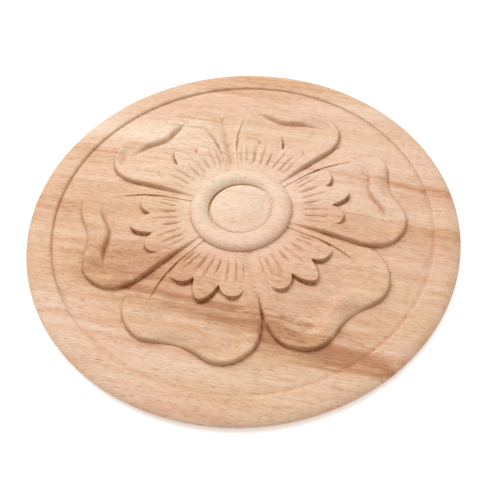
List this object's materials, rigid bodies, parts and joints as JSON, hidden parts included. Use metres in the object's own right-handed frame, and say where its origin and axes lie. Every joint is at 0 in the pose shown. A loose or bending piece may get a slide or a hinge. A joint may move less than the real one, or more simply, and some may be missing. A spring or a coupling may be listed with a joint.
{
  "type": "round carved wood rosette applique",
  "caption": "Flat-backed round wooden applique with a beaded rim, a sunk field and a relief flower with rolled petals, leaf fans and a ringed button.",
  "frame": {"origin": "centre of the flat back face", "axes": "+Z out of the carved face, +Y up the flower's line of mirror symmetry, along the gap where the petals' narrow sides meet"},
  "size_m": [0.2, 0.2, 0.013],
  "materials": {
    "wood": "raw sanded rubberwood, edge glued strips, no stain or varnish"
  },
  "bodies": {
    "root": {"carved_rosette": "wood"}
  },
  "joints": []
}
